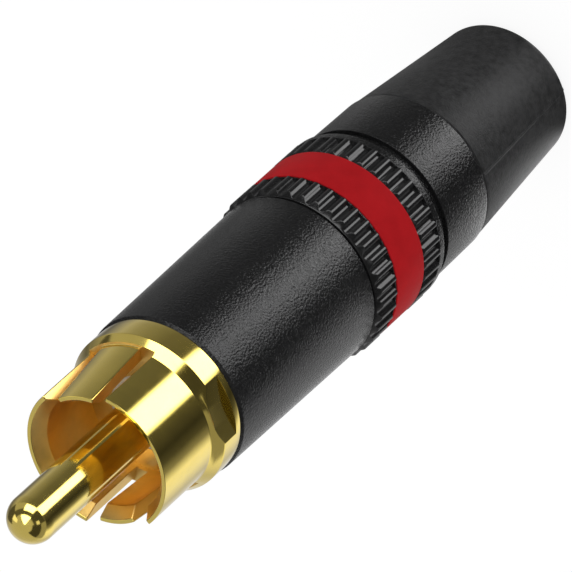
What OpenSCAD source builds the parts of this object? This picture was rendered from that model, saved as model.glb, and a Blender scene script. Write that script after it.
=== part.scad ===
// Phono plug for audio and video cable. It stands on the end of its boot,
// with +Z along the axis from the boot to the nose of the pin.

/* [Centre pin] */
// Diameter of the signal pin
pin_d = 3.2; // [3.1:0.05:3.3]
// How far the nose stands past the rim of the ground sleeve
pin_reach = 8.4; // [6:0.1:10]
// Diameter of the neck that goes through the insulator
pin_neck_d = 2.2; // [1.8:0.1:2.6]
// Diameter of the head that is staked behind the insulator
pin_head_d = 3.3; // [2.9:0.1:3.6]
// Thickness of the staked head
pin_head_len = 0.6; // [0.4:0.1:0.9]
// Outer diameter of the solder cup
cup_d = 2.6; // [2.3:0.1:3]
// Bore of the solder cup
cup_bore_d = 1.8; // [1.2:0.1:2]
// Length of the solder cup behind the head
cup_len = 4.5; // [3:0.1:6]
// Depth of the cup's bore
cup_depth = 3.6; // [3:0.1:4]
// Length of the cup's open side
scoop_len = 2.5; // [1.5:0.1:2.8]

/* [Ground sleeve] */
// Outer diameter of the slotted sleeve
sleeve_d = 10.08; // [9.9:0.02:10.3]
// Bore of the slotted sleeve, over the jack
sleeve_bore_d = 8.3; // [8.2:0.05:8.5]
// Length of the sleeve in front of the cone
sleeve_len = 5; // [4:0.05:7]
// Length of the lead-in at the mouth
mouth_len = 0.9; // [0.3:0.05:1.2]
// Width of the lead-in at the mouth
mouth_w = 0.62; // [0.3:0.02:0.8]
// Depth of the sleeve's floor behind the front of the cone
floor_drop = 0.65; // [0.4:0.05:0.7]
// Angle that one slot takes up
slot_angle = 11.5; // [8:0.5:14]
// Angle that one spring tongue takes up
tongue_angle = 34.5; // [28:0.5:42]
// How far the tip of a tongue is bent inwards
tongue_bend = 0.55; // [0.2:0.05:0.8]
// How far the slots run into the cone
slot_run = 0.3; // [0.1:0.05:0.4]

/* [Collar and stub] */
// Diameter of the collar
collar_d = 11.16; // [11:0.02:11.3]
// Length of the collar
collar_len = 1.7; // [1.4:0.05:2.4]
// Length of the cone between sleeve and collar
cone_len = 0.78; // [0.7:0.02:1]
// Distance across the two wrench flats
flats_w = 10.4; // [10.2:0.05:10.8]
// Thickness of the flange behind the flats
flange_len = 0.5; // [0.3:0.05:0.8]
// Core diameter of the threaded stub
stub_d = 8.6; // [8.4:0.05:8.8]
// Length of the threaded stub
stub_len = 5.2; // [4.5:0.1:6]
// Length of the groove where the thread runs out, behind the flange
relief_len = 0.6; // [0.4:0.1:0.9]
// Depth of that groove
relief_depth = 0.25; // [0.1:0.05:0.3]

/* [Insulator] */
// Diameter of the insulator at the sleeve's floor
insulator_d = 5.3; // [4.8:0.1:5.8]
// Diameter of its rear head
insulator_head_d = 6.6; // [6.2:0.1:7]
// Length of its rear head
insulator_head_len = 1.6; // [1:0.1:2.4]

/* [Ground lug] */
// Diameter of the lug's ring
lug_d = 7.7; // [7.4:0.1:7.8]
// Hole through the ring, clear of the pin's head
lug_hole_d = 4.6; // [4.4:0.1:5.2]
// Thickness of the lug's sheet
lug_t = 0.5; // [0.3:0.05:0.6]
// Angle that the curved tail takes up
tail_angle = 52; // [40:1:60]
// Length of the tail behind the ring
tail_len = 8.4; // [6.5:0.1:10]
// Solder hole near the end of the tail
tail_hole_d = 1.4; // [1:0.1:1.8]
// Distance of that hole from the end of the tail
tail_hole_inset = 2; // [1.5:0.1:3]

/* [Barrel] */
// Diameter of the barrel at its front edge
barrel_front_d = 11.36; // [11.2:0.02:11.6]
// Diameter of the barrel in front of the knurl
barrel_back_d = 11.74; // [11.5:0.02:11.9]
// Length of the barrel in front of the knurl's groove
barrel_len = 14.78; // [13:0.02:18]
// Chamfer of the front edge
barrel_edge = 0.2; // [0.1:0.05:0.3]
// Bore of the thread at the front
thread_d = 9.4; // [9.3:0.05:9.6]
// Length of the thread in the barrel
thread_len = 5.55; // [4.8:0.05:6.4]
// Bore behind the thread, round the chuck
shell_bore_d = 8.6; // [8.4:0.05:8.8]
// Length of the groove in front of the knurl
groove_len = 0.22; // [0.1:0.02:0.4]
// Depth of that groove
groove_depth = 0.12; // [0.05:0.01:0.2]
// Outer diameter of the rear tube
tube_d = 10.2; // [9.9:0.05:10.4]
// Length of the cone that closes the chuck
closing_len = 4.2; // [3.5:0.1:5]
// Bore at the small end of that cone
closing_d = 6.9; // [6.7:0.05:7.2]
// Length of the plain lip behind the cone
lip_len = 1; // [0.6:0.1:1.5]

/* [Knurls] */
// Diameter over the teeth
knurl_d = 12.34; // [12.2:0.02:12.6]
// Number of teeth round each knurl
knurl_teeth = 37; // [30:1:44]
// Depth of the teeth
knurl_depth = 0.22; // [0.1:0.02:0.3]
// Chamfer at the front ends of the teeth
knurl_edge = 0.24; // [0.1:0.01:0.3]
// Diameter of the plain land behind the front knurl's teeth
land_d = 12.1; // [12:0.02:12.24]
// Length of that land
land_len = 0.12; // [0.08:0.02:0.3]
// Length of the front knurl, on the barrel, with its land
front_knurl_len = 2.1; // [1.5:0.05:3]
// Length of the rear knurl, on the bushing
rear_knurl_len = 1.9; // [1.4:0.05:3]

/* [Coding ring] */
// Wall of the coloured ring
ring_wall = 1.02; // [0.8:0.01:1.1]
// Length of the coloured ring
ring_len = 3.1; // [2.5:0.05:5]

/* [Rear bushing] */
// Diameter of the plain rim behind the rear knurl
rim_d = 12.24; // [12:0.02:12.5]
// Length of the plain rim
rim_len = 0.7; // [0.5:0.05:1.4]
// Diameter of the rear sleeve behind the rim
bushing_front_d = 11.76; // [11.5:0.02:11.9]
// Diameter of the rear sleeve at its rear edge
bushing_back_d = 11.64; // [11.4:0.02:11.8]
// Length of the rear sleeve
bushing_len = 5.58; // [5:0.02:9]
// Chamfer of the rear edge and of the rim
bushing_edge = 0.15; // [0.05:0.05:0.3]
// Length of the groove behind the rim
undercut_len = 0.68; // [0.3:0.02:0.9]
// Depth of that groove
undercut_depth = 0.2; // [0.1:0.02:0.3]

/* [Boot] */
// Diameter of the boot where it meets the rear sleeve
boot_front_d = 11.52; // [11.3:0.02:11.7]
// Diameter of the boot at its end
boot_end_d = 9.56; // [9:0.02:10.8]
// Length of the boot
boot_len = 11.87; // [10:0.01:20]
// Radius of the rounded end
boot_round = 1; // [0.4:0.05:1.2]
// Bore for the cable
cable_d = 6.2; // [5.6:0.1:6.4]
// Chamfer of the cable bore at the end
entry_edge = 0.3; // [0.2:0.05:0.6]
// Length of the spigot inside the rear bushing
spigot_len = 1.5; // [1:0.1:2.2]

/* [Cable chuck] */
// Bore of the chuck, open
chuck_bore_d = 5.9; // [5.3:0.1:6.1]
// Number of slits, and so of fingers
chuck_slits = 4; // [3:1:6]
// Width of one slit
slit_w = 0.7; // [0.4:0.05:1]
// Length of the slits from the rear end
slit_len = 9; // [7:0.1:9.5]
// Height of the gripping ridges in the bore
grip_h = 0.2; // [0.1:0.05:0.3]
// Spacing of the gripping ridges
grip_pitch = 1; // [0.7:0.1:1.3]
// Number of gripping ridges
grip_count = 4; // [2:1:5]

/* [Clearances] */
// Radial gap of pieces that are pressed together
press_gap = 0.01; // [0.01:0.005:0.03]
// Gap between the flange and the barrel's front edge
seat_gap = 0.05; // [0.03:0.01:0.1]
// Gap round the chuck, in the shell and behind the stub
chuck_gap = 0.1; // [0.05:0.01:0.15]
// Gap on each side of the lug's tail in its slot
key_gap = 0.15; // [0.1:0.01:0.2]

/* [Hidden] */
$fn = 96;
// Overlap that joins or cuts through cleanly
eps = 0.05;
// Points along the section of one tooth
tooth_steps = 6;
// Steps along the rounded end of the boot
round_steps = 18;

// Stations along the axis, from the end of the boot upwards
z_boot = boot_len;
z_sleeve = z_boot + bushing_len;
z_rim = z_sleeve + rim_len;
z_ring = z_rim + rear_knurl_len;
z_knurl = z_ring + ring_len;
z_groove = z_knurl + front_knurl_len;
z_barrel = z_groove + groove_len;
z_seat = z_barrel + barrel_len;
z_flange = z_seat + seat_gap;
z_collar = z_flange + collar_len;
z_cone = z_collar + cone_len;
z_mouth = z_cone + sleeve_len;
z_nose = z_mouth + pin_reach;
z_floor = z_cone - floor_drop;
z_slot = z_cone - slot_run;
z_stub = z_flange - stub_len;
z_lug = z_stub + lug_t;
z_head = z_lug + insulator_head_len;
z_tube = z_boot + spigot_len;
z_closing = z_tube + lip_len;
z_bore = z_closing + closing_len;
z_chuck = z_stub - chuck_gap;
z_thread = z_seat - thread_len;

// Slope of the boot's wall, and the centre of its rounded end
boot_slope = (boot_front_d - boot_end_d) / 2 / boot_len;
boot_lean = atan(boot_slope);
round_x = boot_end_d / 2 + boot_slope * boot_round - boot_round / cos(boot_lean);

// Outer diameter of the coding ring on the barrel's tube
ring_d = tube_d + 2 * (press_gap + ring_wall);

// Radii of the tail of the ground lug
tail_out = lug_d / 2 - lug_t / 2;
tail_in = tail_out - lug_t;

// Outline of the chuck's cone, parallel to the cone in the barrel
chuck_d = shell_bore_d - 2 * chuck_gap;
chuck_tip_d = closing_d - 2 * chuck_gap;

gold = [0.85, 0.68, 0.36];
black = [0.07, 0.07, 0.08];
red = [0.64, 0.11, 0.13];
charcoal = [0.17, 0.17, 0.18];
white = [0.93, 0.92, 0.88];

// Ring of straight rounded teeth with a chamfered front end, from z = 0 upwards.
// The section is a cosine wave between the tips and the roots of the teeth.
module knurl(len) {
  r = knurl_d / 2;
  steps = knurl_teeth * tooth_steps;
  wave = [for (i = [0 : steps - 1])
    (r - knurl_depth * (1 - cos(360 * i / tooth_steps)) / 2) * [cos(360 * i / steps), sin(360 * i / steps)]];
  intersection() {
    linear_extrude(len) polygon(wave);
    rotate_extrude() polygon([
      [0, 0], [r + eps, 0], [r + eps, len - knurl_edge - eps], [r - knurl_edge, len], [0, len]]);
  }
}

// Prism over a sector of the circle, from a height upwards past the mouth
module sector(middle, span, z) {
  far = 2 * collar_d;
  rotate([0, 0, middle])
    translate([0, 0, z])
      linear_extrude(sleeve_len + cone_len)
        polygon([[0, 0], far * [cos(span / 2), -sin(span / 2)], far * [cos(span / 2), sin(span / 2)]]);
}

// Turned shape of the contact body, before it is slotted
module turned_body() {
  r_stub = stub_d / 2;
  r_relief = r_stub - relief_depth;
  r_bore = sleeve_bore_d / 2;
  r_seat = lug_d / 2 + press_gap;
  r_head = insulator_head_d / 2 + press_gap;
  r_neck = insulator_d / 2 + press_gap;
  rotate_extrude() polygon([
    [r_seat, z_stub], [r_relief, z_stub], [r_stub, z_stub + relief_depth],
    [r_stub, z_flange - relief_len], [r_relief, z_flange - relief_len], [r_relief, z_flange],
    [collar_d / 2, z_flange], [collar_d / 2, z_collar], [sleeve_d / 2, z_cone],
    [sleeve_d / 2, z_mouth], [r_bore + mouth_w, z_mouth], [r_bore, z_mouth - mouth_len],
    [r_bore, z_floor], [r_neck, z_floor], [r_neck, z_head], [r_head, z_head],
    [r_head, z_lug], [r_seat, z_lug]]);
}

// Spring tongue, rooted in the cone and leaning inwards to the mouth
module tongue(middle) {
  r_in = sleeve_bore_d / 2;
  r_out = sleeve_d / 2;
  lean = tongue_bend / (z_mouth - z_slot);
  intersection() {
    rotate_extrude() polygon([
      [r_in + eps, z_slot - eps], [r_out, z_slot - eps], [r_out, z_slot],
      [r_out - tongue_bend, z_mouth], [r_in + mouth_w - tongue_bend, z_mouth],
      [r_in - tongue_bend + lean * mouth_len, z_mouth - mouth_len], [r_in, z_slot]]);
    sector(middle, tongue_angle, z_slot - 2 * eps);
  }
}

// Two opposite flats for a spanner, through the cone and the front of the collar
module wrench_flats() {
  for (side = [0, 180])
    rotate([0, 0, side])
      translate([flats_w / 2, -collar_d / 2, z_flange + flange_len])
        cube([collar_d, collar_d, z_mouth - z_flange]);
}

module contact_body() {
  color(gold) union() {
    difference() {
      turned_body();
      wrench_flats();
      for (side = [90, 270]) sector(side, tongue_angle + 2 * slot_angle, z_slot);
    }
    for (side = [90, 270]) tongue(side);
  }
}

module insulator() {
  color(white) difference() {
    union() {
      translate([0, 0, z_lug]) cylinder(d = insulator_d, h = z_floor - z_lug);
      translate([0, 0, z_lug]) cylinder(d = insulator_head_d, h = insulator_head_len);
    }
    translate([0, 0, z_lug - eps]) cylinder(d = pin_neck_d + 2 * press_gap, h = z_floor - z_lug + 2 * eps);
  }
}

module centre_pin() {
  z_back = z_lug - pin_head_len;
  z_end = z_back - cup_len;
  color(gold) difference() {
    union() {
      translate([0, 0, z_nose - pin_d / 2]) sphere(d = pin_d);
      translate([0, 0, z_floor]) cylinder(d = pin_d, h = z_nose - pin_d / 2 - z_floor);
      translate([0, 0, z_back]) cylinder(d = pin_neck_d, h = z_floor - z_back + eps);
      translate([0, 0, z_back]) cylinder(d = pin_head_d, h = pin_head_len);
      translate([0, 0, z_end]) cylinder(d = cup_d, h = cup_len + eps);
    }
    translate([0, 0, z_end - eps]) cylinder(d = cup_bore_d, h = cup_depth + eps);
    // Scoop that opens one side of the cup
    translate([-cup_d, 0, z_end - eps]) cube([2 * cup_d, cup_d, scoop_len + eps]);
  }
}

module ground_lug() {
  z_tail = z_stub - tail_len;
  color(gold) difference() {
    union() {
      translate([0, 0, z_stub]) cylinder(d = lug_d, h = lug_t);
      rotate([0, 0, -tail_angle / 2])
        rotate_extrude(angle = tail_angle)
          translate([tail_in, z_tail]) square([lug_t, tail_len + eps]);
    }
    translate([0, 0, z_stub - eps]) cylinder(d = lug_hole_d, h = lug_t + 2 * eps);
    translate([0, 0, z_tail + tail_hole_inset])
      rotate([0, 90, 0]) cylinder(d = tail_hole_d, h = lug_d);
  }
}

// Collet that closes on the cable as the cone in the barrel takes it in
module cable_chuck() {
  z_tip = z_closing + chuck_gap;
  r_bore = chuck_bore_d / 2;
  color(white) difference() {
    rotate_extrude() difference() {
      polygon([
        [0, z_tip], [chuck_tip_d / 2, z_tip], [chuck_d / 2, z_bore + chuck_gap],
        [chuck_d / 2, z_chuck], [0, z_chuck]]);
      difference() {
        translate([0, z_tip - eps]) square([r_bore, z_chuck - z_tip + 2 * eps]);
        for (i = [0 : grip_count - 1])
          translate([r_bore, z_tip + (i + 0.5) * grip_pitch])
            polygon([[-grip_h, 0], [eps, -grip_h], [eps, grip_h]]);
      }
    }
    // Slits between the fingers, turned clear of the tail's slot
    for (i = [0 : chuck_slits - 1])
      rotate([0, 0, (i + 0.5) * 360 / chuck_slits])
        translate([0, -slit_w / 2, z_tip - eps]) cube([chuck_d, slit_w, slit_len + eps]);
    // Slot that the tail of the ground lug slides in
    tail_slot();
  }
}

module tail_slot() {
  key_angle = tail_angle + 2 * atan(key_gap / tail_in);
  z_key = z_stub - tail_len - 2 * key_gap;
  rotate([0, 0, -key_angle / 2])
    rotate_extrude(angle = key_angle)
      translate([chuck_bore_d / 2 - 2 * grip_h, z_key]) square([chuck_d, z_chuck - z_key + eps]);
}

module barrel() {
  r_front = barrel_front_d / 2;
  r_back = barrel_back_d / 2;
  r_tube = tube_d / 2;
  color(black) difference() {
    union() {
      rotate_extrude() polygon([
        [0, z_tube], [r_tube, z_tube], [r_tube, z_knurl], [land_d / 2, z_knurl],
        [land_d / 2, z_knurl + land_len], [r_back - groove_depth, z_knurl + land_len],
        [r_back - groove_depth, z_barrel], [r_back, z_barrel],
        [r_front, z_seat - barrel_edge], [r_front - barrel_edge, z_seat], [0, z_seat]]);
      // The teeth start a little inside the land
      translate([0, 0, z_knurl + land_len - eps]) knurl(front_knurl_len - land_len + eps);
    }
    rotate_extrude() polygon([
      [0, z_tube - eps], [closing_d / 2, z_tube - eps], [closing_d / 2, z_closing],
      [shell_bore_d / 2, z_bore], [shell_bore_d / 2, z_thread], [thread_d / 2, z_thread],
      [thread_d / 2, z_seat + eps], [0, z_seat + eps]]);
  }
}

module coding_ring() {
  color(red) difference() {
    translate([0, 0, z_ring]) cylinder(d = ring_d, h = ring_len);
    translate([0, 0, z_ring - eps]) cylinder(d = tube_d + 2 * press_gap, h = ring_len + 2 * eps);
  }
}

module rear_bushing() {
  r_front = bushing_front_d / 2;
  r_back = bushing_back_d / 2;
  color(black) difference() {
    union() {
      rotate_extrude() polygon([
        [0, z_boot], [r_back - bushing_edge, z_boot], [r_back, z_boot + bushing_edge],
        [r_front, z_sleeve - undercut_len], [r_front - undercut_depth, z_sleeve - undercut_len],
        [r_front - undercut_depth, z_sleeve], [rim_d / 2 - bushing_edge, z_sleeve],
        [rim_d / 2, z_sleeve + bushing_edge], [rim_d / 2, z_rim], [0, z_rim]]);
      // The teeth start a little inside the rim
      translate([0, 0, z_rim - eps]) knurl(rear_knurl_len + eps);
    }
    translate([0, 0, z_boot - eps]) cylinder(d = tube_d + 2 * press_gap, h = z_ring - z_boot + 2 * eps);
  }
}

module boot() {
  // Arc from the end face to the sloping wall
  arc = [for (i = [0 : round_steps])
    let (a = (90 - boot_lean) * i / round_steps - 90)
    [round_x + boot_round * cos(a), boot_round + boot_round * sin(a)]];
  color(charcoal) difference() {
    rotate_extrude() polygon(concat(
      [[0, 0]], arc,
      [[boot_front_d / 2, z_boot], [tube_d / 2, z_boot], [tube_d / 2, z_tube], [0, z_tube]]));
    translate([0, 0, -eps]) cylinder(d = cable_d, h = z_tube + 2 * eps);
    translate([0, 0, -eps])
      cylinder(d1 = cable_d + 2 * (entry_edge + eps), d2 = cable_d, h = entry_edge + eps);
  }
}

contact_body();
insulator();
centre_pin();
ground_lug();
cable_chuck();
barrel();
coding_ring();
rear_bushing();
boot();
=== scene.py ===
"""Looks of a phono cable plug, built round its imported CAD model.

The turned metal, the insulator, the knurled shell, the coding ring and the boot are
remade as smooth surfaces of revolution, worked out as whole arrays, at the sizes of
the CAD model, with a few grooves and chamfers cut deeper. The lug and the chuck
inside keep their CAD meshes and get a finish.
"""

import math
from functools import wraps

import bmesh
import bpy
import numpy as np
from bpy.props import FloatProperty, FloatVectorProperty, IntProperty, PointerProperty
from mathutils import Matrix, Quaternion, Vector


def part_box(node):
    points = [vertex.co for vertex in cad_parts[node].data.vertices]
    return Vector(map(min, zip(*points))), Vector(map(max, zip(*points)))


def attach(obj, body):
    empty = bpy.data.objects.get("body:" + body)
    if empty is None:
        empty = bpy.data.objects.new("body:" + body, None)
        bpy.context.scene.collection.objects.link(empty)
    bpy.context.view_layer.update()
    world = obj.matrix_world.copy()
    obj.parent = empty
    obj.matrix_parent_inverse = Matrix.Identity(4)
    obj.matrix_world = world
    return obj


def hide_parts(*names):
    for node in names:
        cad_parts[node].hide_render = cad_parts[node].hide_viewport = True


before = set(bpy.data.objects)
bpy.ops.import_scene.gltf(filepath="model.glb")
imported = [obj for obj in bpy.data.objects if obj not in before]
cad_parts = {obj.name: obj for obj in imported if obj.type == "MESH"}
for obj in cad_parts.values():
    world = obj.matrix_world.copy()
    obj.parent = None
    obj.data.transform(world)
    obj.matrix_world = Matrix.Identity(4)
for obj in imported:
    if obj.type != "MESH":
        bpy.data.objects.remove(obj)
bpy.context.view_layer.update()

bl_info = {
    "name": "Phono plug looks",
    "version": (1, 0, 0),
    "blender": (4, 5, 0),
    "location": "View3D > Sidebar > Plug",
    "description": "Builds the visible surfaces, finishes and stage of a phono plug",
    "category": "Object",
}

MM = 0.001
MERGE_DISTANCE = 1e-7
SMOOTH_ANGLE = math.radians(32)

# Roundings: steps in one, the most of a side that it may take, and the least length of a side
ROUND_STEPS = 3
ROUND_SHARE = 0.45
SHORTEST_SIDE = 1e-12

# Stations along the axis, in metres, from the boxes of the CAD nodes
Z_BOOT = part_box("rear_bushing")[0].z
Z_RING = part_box("coding_ring")[0].z
Z_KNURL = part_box("coding_ring")[1].z
Z_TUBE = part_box("barrel")[0].z
Z_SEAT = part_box("barrel")[1].z
Z_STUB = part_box("contact_body")[0].z
Z_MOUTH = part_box("contact_body")[1].z
Z_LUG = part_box("insulator")[0].z
Z_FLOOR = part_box("insulator")[1].z
Z_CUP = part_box("centre_pin")[0].z
Z_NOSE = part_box("centre_pin")[1].z

# Counts and steps of the columns and rows of the surfaces
TOOTH_COLUMNS = 24
RING_COLUMNS = 240
INSULATOR_COLUMNS = 120
PIN_HALF_COLUMNS = 61
NOSE_ROWS = 25
PETAL_STEP = math.radians(1.0)
SLOT_COLUMNS = 9
TONGUE_COLUMNS = 35
THREAD_ROWS = 45
BOOT_END_ROWS = 13

# Angles of the boot's columns in degrees, close together at a parting line
SEAM_ANGLES = np.arange(-3.0, 3.01, 0.3)
WALL_ANGLES = np.arange(5.0, 176.0, 2.0)

# Steepness of the thread's flanks, and the share of a turn over which its ends fade
THREAD_STEEPNESS = 2.2
THREAD_FADE = 0.5

# Shares of the sleeve's wall at which the folded corners of a slot lie
FOLD_TOP, FOLD_LIP, FOLD_LEAD = 0.75, 0.5, 0.2

# The dull plating inside the sleeve, browner and darker as painted shade of the hollow:
# how far below its floor it starts and short of its mouth it ends, and the most that its
# faces may turn outwards
INNER_START = 0.1 * MM
INNER_STOP = 0.03 * MM
INNER_TURN = 0.3

# Levels between which the noise of a finish mostly lies
NOISE_LOW, NOISE_HIGH = 0.3, 0.7

# Floor: half its width in metres, its glow for diffuse light, and the light that falls on it
FLOOR_REACH = 3.0
FLOOR_GLOW = 0.5
FLOOR_LIT = 0.7

# Camera: width of its sensor in millimetres, and the distances in metres that it sees
SENSOR_WIDTH = 36.0
CLIP_START, CLIP_END = 0.01, 10.0

# The tent that the gloss reflects. Angles are in degrees from the camera's side,
# to the right and up, and a level of 1 is white.
SCREEN_REACH = 0.6
SCREEN_HEIGHT = 0.2 * MM

# Left and right edges of the bright strip and of the cloth at the plug's foot, and
# the softness of each
FLOOR_STRIP = (-16.5, 18)
STRIP_SOFT = 4.5
FOOT_CLOTH = (75, 150)
FOOT_SOFT = 10

# Rings of the floor from the plug's foot outwards, each with its radius, its share of
# the floor's light, low near the foot as a painted shadow of the plug, and the level of
# the foot cloth there
FOOT_RINGS = (
    (1.0 * MM, 0.2, 1.5), (6.5 * MM, 0.2, 1.5), (9.0 * MM, 1.0, 1.0), (11.5 * MM, 1.0, 1.0),
    (14.5 * MM, 1.0, 0.0), (SCREEN_REACH, 1.0, 0.0))

# Angle and level of each cloth on the floor
FLOOR_CLOTHS = (
    (-180, 0.65), (-160, 0.40), (-140, 0.12), (-131, 0.20), (-109, 0.42), (-92, 0.30), (-51, 0.14),
    (28, 0.08), (50, 0.03), (64, 0.07), (77, 0.25), (92, 1.05), (109, 0.95), (131, 0.55), (155, 0.70),
    (180, 0.65))

# Level above the horizon, the softness of the change to it, and the softness of edges
TENT_GREY = 0.5
TENT_RISE = 10
TENT_SOFT = 2.5

# Left, right, low and high edges of the windows, and of the cloths with their levels
TENT_WINDOWS = ((-62, -15, 4, 32), (-75, -8, 50, 86))
TENT_CLOTHS = (
    (-12, 50, 6, 54, 0.06), (45, 118, 4, 25, 0.3), (45, 118, 25, 60, 0.05), (28, 46, 29, 42, 0.9),
    (-112, -66, -20, 26, 0.4), (-112, -8, 26, 48, 0.1), (-152, -108, -20, 34, 0.08),
    (-134, -112, 34, 58, 1.2))


def length(name, description, millimetres):
    """A length property whose default is given in millimetres."""
    return FloatProperty(
        name=name, description=description, default=millimetres * MM,
        min=0.0, precision=5, subtype="DISTANCE", unit="LENGTH")


def angle(name, description, degrees):
    """An angle property whose default is given in degrees."""
    return FloatProperty(
        name=name, description=description, default=math.radians(degrees),
        subtype="ANGLE", unit="ROTATION")


def colour(name, description, rgb):
    """A colour property, in linear values."""
    return FloatVectorProperty(
        name=name, description=description, default=rgb, size=3,
        min=0.0, max=1.0, subtype="COLOR")


def factor(name, description, value, top=1.0):
    """A plain number from nought to a top value."""
    return FloatProperty(
        name=name, description=description, default=value, min=0.0, max=top, subtype="FACTOR")


class PlugContactSizes(bpy.types.PropertyGroup):
    """Sizes of the slotted contact body"""
    sleeve_d: length("Sleeve", "Outer diameter of the slotted sleeve", 10.08)
    bore_d: length("Sleeve bore", "Bore of the sleeve, over the jack", 8.3)
    sleeve_len: length("Sleeve length", "Length of the sleeve in front of the cone", 5.0)
    mouth_len: length("Lead-in length", "Length of the lead-in at the mouth", 0.9)
    mouth_w: length("Lead-in width", "Width of the lead-in at the mouth", 0.62)
    slot_angle: angle("Slot", "Angle that one slot takes up", 11.5)
    tongue_angle: angle("Tongue", "Angle that one spring tongue takes up", 34.5)
    tongue_bend: length("Tongue bend", "How far a tongue's tip is bent inwards", 0.55)
    slot_run: length("Slot run", "How far the slots run into the cone", 0.3)
    collar_d: length("Collar", "Diameter of the collar", 11.16)
    cone_len: length("Cone", "Length of the cone between sleeve and collar", 0.78)
    flats_w: length("Flats", "Distance across the two wrench flats", 10.4)
    flange_len: length("Flange", "Thickness of the flange behind the flats", 0.5)
    stub_d: length("Stub", "Core diameter of the threaded stub", 8.6)
    stub_len: length("Stub length", "Length of the threaded stub", 5.2)
    relief_len: length("Relief length", "Length of the thread's run-out groove", 0.6)
    relief_depth: length("Relief depth", "Depth of the thread's run-out groove", 0.25)
    thread_pitch: length("Thread pitch", "Advance of the thread in one turn", 1.0)
    thread_h: length("Thread height", "Height of the thread over the stub's core", 0.34)
    thread_gap: length("Thread gap", "Plain length between the thread and its run-out groove", 0.1)
    lug_seat_d: length("Lug seat", "Bore of the seat of the ground lug", 7.72)
    head_seat_d: length("Head seat", "Bore of the seat of the insulator's head", 6.62)
    neck_seat_d: length("Neck seat", "Bore round the insulator's neck", 5.32)
    head_len: length("Head length", "Length of the insulator's head", 1.6)
    edge: length("Edge rounding", "Rounding of the turned edges", 0.06)
    burr: length("Slot edge", "Chamfer along the slots", 0.05)


class PlugPinSizes(bpy.types.PropertyGroup):
    """Sizes of the centre pin and the insulator"""
    pin_d: length("Pin", "Diameter of the signal pin", 3.2)
    neck_d: length("Neck", "Diameter of the neck in the insulator", 2.2)
    head_d: length("Staked head", "Diameter of the head behind the insulator", 3.3)
    head_len: length("Head length", "Thickness of the staked head", 0.6)
    cup_d: length("Cup", "Outer diameter of the solder cup", 2.6)
    cup_bore_d: length("Cup bore", "Bore of the solder cup", 1.8)
    cup_depth: length("Cup depth", "Depth of the cup's bore", 3.6)
    scoop_len: length("Scoop", "Length of the cup's open side", 2.5)
    insulator_d: length("Insulator", "Diameter of the insulator at the floor", 5.3)
    insulator_head_d: length("Insulator head", "Diameter of the rear head", 6.6)
    insulator_head_len: length("Insulator head length", "Length of the rear head", 1.6)
    insulator_edge: length("Insulator edge", "Rounding of the insulator's edges", 0.04)


class PlugShellSizes(bpy.types.PropertyGroup):
    """Sizes of the barrel, the knurls, the coding ring and the rear bushing"""
    front_d: length("Barrel front", "Diameter of the barrel at its front edge", 11.36)
    back_d: length("Barrel back", "Diameter of the barrel in front of the knurl", 11.74)
    front_edge: length("Front edge", "Chamfer of the barrel's front edge", 0.2)
    thread_d: length("Thread bore", "Bore of the thread at the front", 9.4)
    thread_len: length("Thread length", "Length of the thread in the barrel", 5.55)
    bore_d: length("Bore", "Bore behind the thread", 8.6)
    groove_len: length("Groove length", "Length of the groove in front of the knurl", 0.22)
    groove_depth: length("Groove depth", "Depth of that groove", 0.25)
    tube_d: length("Tube", "Outer diameter of the rear tube", 10.2)
    closing_len: length("Closing cone", "Length of the cone that closes the chuck", 4.2)
    closing_d: length("Cone end", "Bore at the small end of that cone", 6.9)
    lip_len: length("Lip", "Length of the plain lip behind the cone", 1.0)
    knurl_d: length("Knurl", "Diameter over the teeth", 12.34)
    teeth: IntProperty(name="Teeth", description="Teeth round each knurl", default=37, min=12)
    tooth_h: length("Tooth depth", "Depth of the teeth", 0.27)
    front_tooth_edge: length("Front tooth end", "Chamfer in front of the front knurl's teeth", 0.36)
    rear_tooth_edge: length("Rear tooth end", "Chamfer in front of the rear knurl's teeth", 0.24)
    land_d: length("Land", "Diameter of the plain land behind the front knurl's teeth", 12.1)
    land_len: length("Land length", "Length of that land", 0.12)
    front_knurl_len: length("Front knurl", "Length of the front knurl with its land", 2.1)
    rear_knurl_len: length("Rear knurl", "Length of the rear knurl", 1.9)
    ring_d: length("Ring", "Diameter of the coloured ring", 12.26)
    ring_edge: length("Ring edge", "Rounding of the ring's edges", 0.06)
    rim_d: length("Rim", "Diameter of the plain rim", 12.24)
    rim_len: length("Rim length", "Length of the plain rim", 0.7)
    sleeve_front_d: length("Rear sleeve front", "Diameter behind the rim", 11.76)
    sleeve_back_d: length("Rear sleeve back", "Diameter at the rear edge", 11.64)
    rim_edge: length("Rim edge", "Chamfer behind the plain rim", 0.2)
    sleeve_edge: length("Rear edge", "Chamfer of the rear edge", 0.15)
    undercut_len: length("Undercut", "Length of the groove behind the rim", 0.68)
    undercut_depth: length("Undercut depth", "Depth of that groove", 0.3)
    press_gap: length("Press gap", "Radial gap of pressed pieces", 0.01)
    edge: length("Edge rounding", "Rounding of the shell's edges", 0.05)


class PlugBootSizes(bpy.types.PropertyGroup):
    """Sizes of the boot"""
    front_d: length("Front", "Diameter where the boot meets the rear sleeve", 11.52)
    end_d: length("End", "Diameter of the boot at its end", 9.56)
    end_round: length("End rounding", "Radius of the rounded end", 1.0)
    cable_d: length("Cable bore", "Bore for the cable", 6.2)
    entry_edge: length("Entry edge", "Chamfer of the cable bore", 0.3)
    entry_round: length("Entry rounding", "Rounding of that chamfer", 0.1)
    front_round: length("Front rounding", "Rounding of the edge at the rear sleeve", 0.28)
    seam_h: length("Parting line", "Height of the moulding's parting line", 0.05)
    seam_w: length("Parting width", "Width of the parting line", 0.15)


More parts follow.
